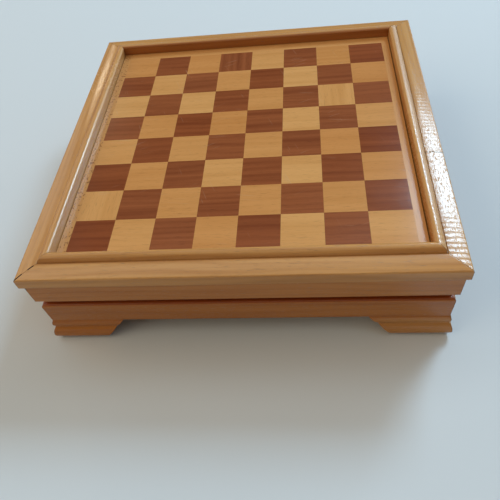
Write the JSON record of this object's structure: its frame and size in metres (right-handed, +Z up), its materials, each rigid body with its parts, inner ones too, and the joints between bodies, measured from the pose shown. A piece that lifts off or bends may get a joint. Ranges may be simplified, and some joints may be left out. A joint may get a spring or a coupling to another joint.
{
  "type": "chess set with board",
  "caption": "Low square footed wooden box with a hinged lid that is a framed, recessed inlaid chessboard, with felt-lined bays that store the turned chessmen.",
  "frame": {"origin": "centre of the box on the plane its feet stand on", "axes": "+Z up, -Y towards the player at the front (light men), hinges at the back on +Y"},
  "size_m": [0.3066, 0.3066, 0.0859],
  "materials": {
    "frame_wood": "gloss varnish over honey-stained hardwood",
    "case_wood": "gloss varnish over honey-stained hardwood",
    "light_veneer": "gloss varnished pale veneer",
    "dark_veneer": "gloss varnished red-brown veneer",
    "panel_wood": "unfinished plywood and softwood",
    "divider_wood": "thin satin varnish",
    "felt": "green wool felt",
    "brass": "polished",
    "light_chessman": "gloss varnished pale hardwood",
    "dark_chessman": "gloss varnished dark-stained hardwood"
  },
  "bodies": {
    "case": {"back_row_divider": "divider_wood", "base_rail_back": "case_wood", "base_rail_front": "case_wood", "base_rail_left": "case_wood", "base_rail_right": "case_wood", "bottom_board": "panel_wood", "case_hinge_screws": "brass", "case_side_back": "case_wood", "case_side_front": "case_wood", "case_side_left": "case_wood", "case_side_right": "case_wood", "centre_divider": "divider_wood", "dark_bishop_1": "dark_chessman", "dark_bishop_2": "dark_chessman", "dark_king": "dark_chessman", "dark_knight_1": "dark_chessman", "dark_knight_2": "dark_chessman", "dark_pawns": "dark_chessman", "dark_queen": "dark_chessman", "dark_rook_1": "dark_chessman", "dark_rook_2": "dark_chessman", "felt_back_pawns": "felt", "felt_back_row": "felt", "felt_front_pawns": "felt", "felt_front_row": "felt", "front_row_divider": "divider_wood", "glue_blocks": "panel_wood", "hinge_case_leaf_left": "brass", "hinge_case_leaf_right": "brass", "hinge_pin_left": "brass", "hinge_pin_right": "brass", "light_bishop_1": "light_chessman", "light_bishop_2": "light_chessman", "light_king": "light_chessman", "light_knight_1": "light_chessman", "light_knight_2": "light_chessman", "light_pawns": "light_chessman", "light_queen": "light_chessman", "light_rook_1": "light_chessman", "light_rook_2": "light_chessman"},
    "lid": {"lid_rail_front": "frame_wood", "lid_rail_right": "frame_wood", "lid_rail_back": "frame_wood", "lid_rail_left": "frame_wood", "board_core": "panel_wood", "light_squares": "light_veneer", "dark_squares": "dark_veneer", "border_front": "light_veneer", "border_right": "light_veneer", "border_back": "light_veneer", "border_left": "light_veneer", "hinge_lid_leaf_left": "brass", "hinge_lid_leaf_right": "brass", "lid_hinge_screws": "brass"}
  },
  "joints": [
    {"name": "lid_hinge", "type": "hinge", "parent": "case", "child": "lid", "pos_m": [0, 0.1514, 0.0702], "axis": [-1, 0, 0], "range_deg": [0, 105]}
  ]
}
